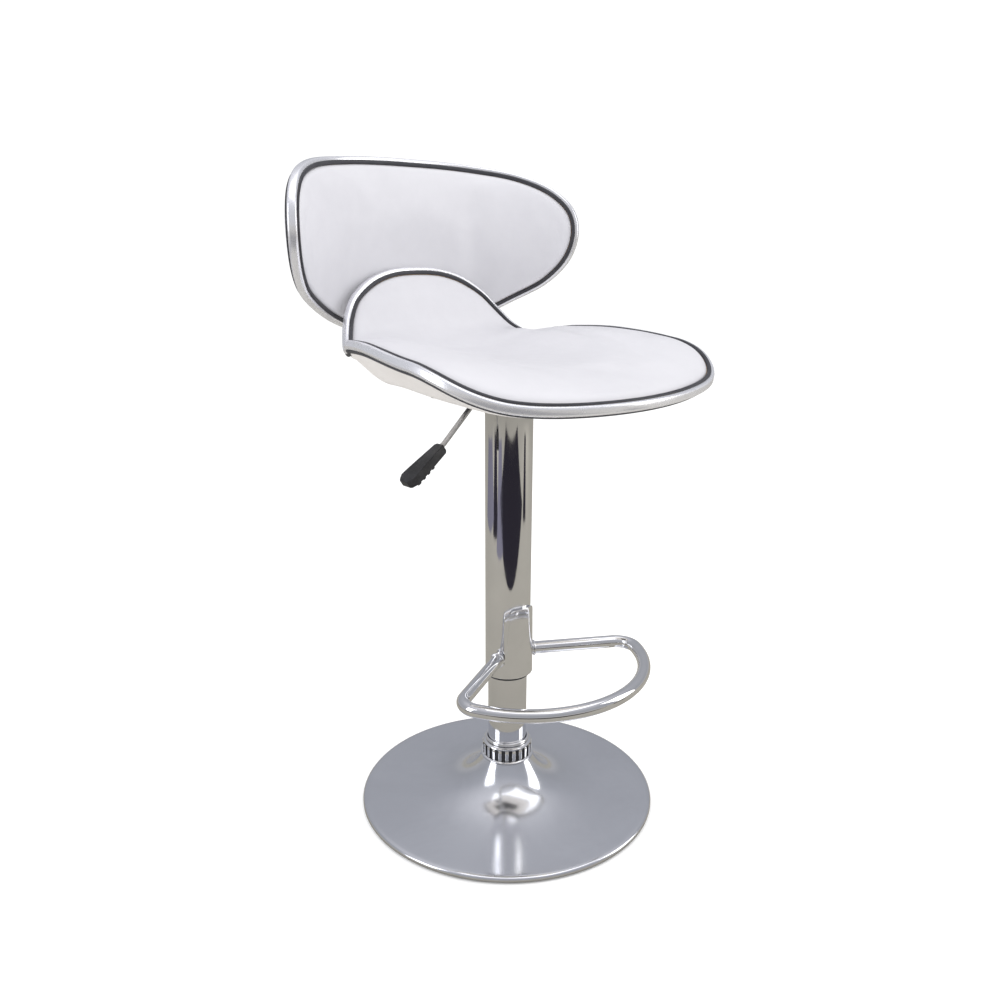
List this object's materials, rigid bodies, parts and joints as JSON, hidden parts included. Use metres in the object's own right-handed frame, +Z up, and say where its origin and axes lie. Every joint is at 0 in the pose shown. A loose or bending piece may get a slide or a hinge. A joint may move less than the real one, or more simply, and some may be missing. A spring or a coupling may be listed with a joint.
{
  "type": "adjustable swivel stool",
  "caption": "Height-adjustable swivel bar stool with a saddle seat, wrapped backrest, chrome column, footrest loop, round trumpet base and release lever.",
  "frame": {"origin": "on the column's axis at the floor, the middle of the base's flat underside", "axes": "+Z up along the column's axis, -Y towards the front of the seat, +X towards the sitter's left"},
  "size_m": [0.4258, 0.4213, 0.7976],
  "materials": {
    "base_chrome": "bright polished chrome plate",
    "tube_chrome": "bright polished chrome plate",
    "trim_chrome": "semi-bright chrome-faced moulding",
    "plain_steel": "zinc plated, satin",
    "cast_steel": "rough cast",
    "black_paint": "satin black powder coat",
    "black_plastic": "fine textured moulding",
    "rubber": "matt",
    "plywood": "bare moulded plywood",
    "white_leatherette": "soft low-sheen leatherette with fine grain",
    "charcoal_welt": "satin vinyl piping"
  },
  "bodies": {
    "base": {"base_shell": "base_chrome", "floor_ring": "rubber", "bottom_cover": "black_plastic", "ballast_disc": "cast_steel", "base_socket": "plain_steel", "base_collar": "tube_chrome", "collar_bead": "tube_chrome", "stand_tube": "tube_chrome", "guide_bush": "black_plastic", "rod_end_plate": "plain_steel", "bearing_race_lower": "plain_steel"},
    "piston": {"piston_rod": "plain_steel", "piston_head": "black_plastic", "bearing_race_upper": "plain_steel", "bearing_balls": "plain_steel", "rod_clip": "plain_steel"},
    "seat": {"gas_cylinder": "black_paint", "rod_seal": "rubber", "cover_tube": "tube_chrome", "cover_bush": "black_plastic", "footrest_saddle": "tube_chrome", "footrest_loop": "tube_chrome", "seat_plate": "black_paint", "seat_bolt_1": "plain_steel", "seat_bolt_2": "plain_steel", "seat_bolt_3": "plain_steel", "seat_bolt_4": "plain_steel", "lever_pivot_pin": "plain_steel", "seat_shell": "plywood", "seat_top_pad": "white_leatherette", "seat_bottom_pad": "white_leatherette", "seat_trim": "trim_chrome", "seat_top_welt": "charcoal_welt", "seat_bottom_welt": "charcoal_welt", "back_shell": "plywood", "back_front_pad": "white_leatherette", "back_rear_pad": "white_leatherette", "back_trim": "trim_chrome", "back_front_welt": "charcoal_welt", "back_rear_welt": "charcoal_welt", "back_bolt_1": "plain_steel", "back_bolt_2": "plain_steel", "back_bolt_3": "plain_steel", "back_bolt_4": "plain_steel"},
    "lever": {"lever_rod": "plain_steel", "lever_handle": "black_plastic"},
    "release_pin": {"release_pin": "plain_steel"}
  },
  "joints": [
    {"name": "swivel", "type": "hinge", "parent": "base", "child": "piston", "pos_m": [0, 0, 0.018], "axis": [0, 0, 1], "continuous": true},
    {"name": "height", "type": "slide", "parent": "piston", "child": "seat", "axis": [0, 0, 1], "range_m": [0, 0.21]},
    {"name": "lever_tip", "type": "hinge", "parent": "seat", "child": "lever", "pos_m": [-0.04, 0, 0.5292], "axis": [0, 1, 0], "range_deg": [0, 4.5], "stiffness_Nm_per_rad": 1.5},
    {"name": "pin_travel", "type": "slide", "parent": "seat", "child": "release_pin", "axis": [0, 0, -1], "range_m": [0, 0.0034]}
  ],
  "couplings": [
    {"joint": "pin_travel", "follows": "lever_tip", "m_per_rad": 0.04}
  ]
}
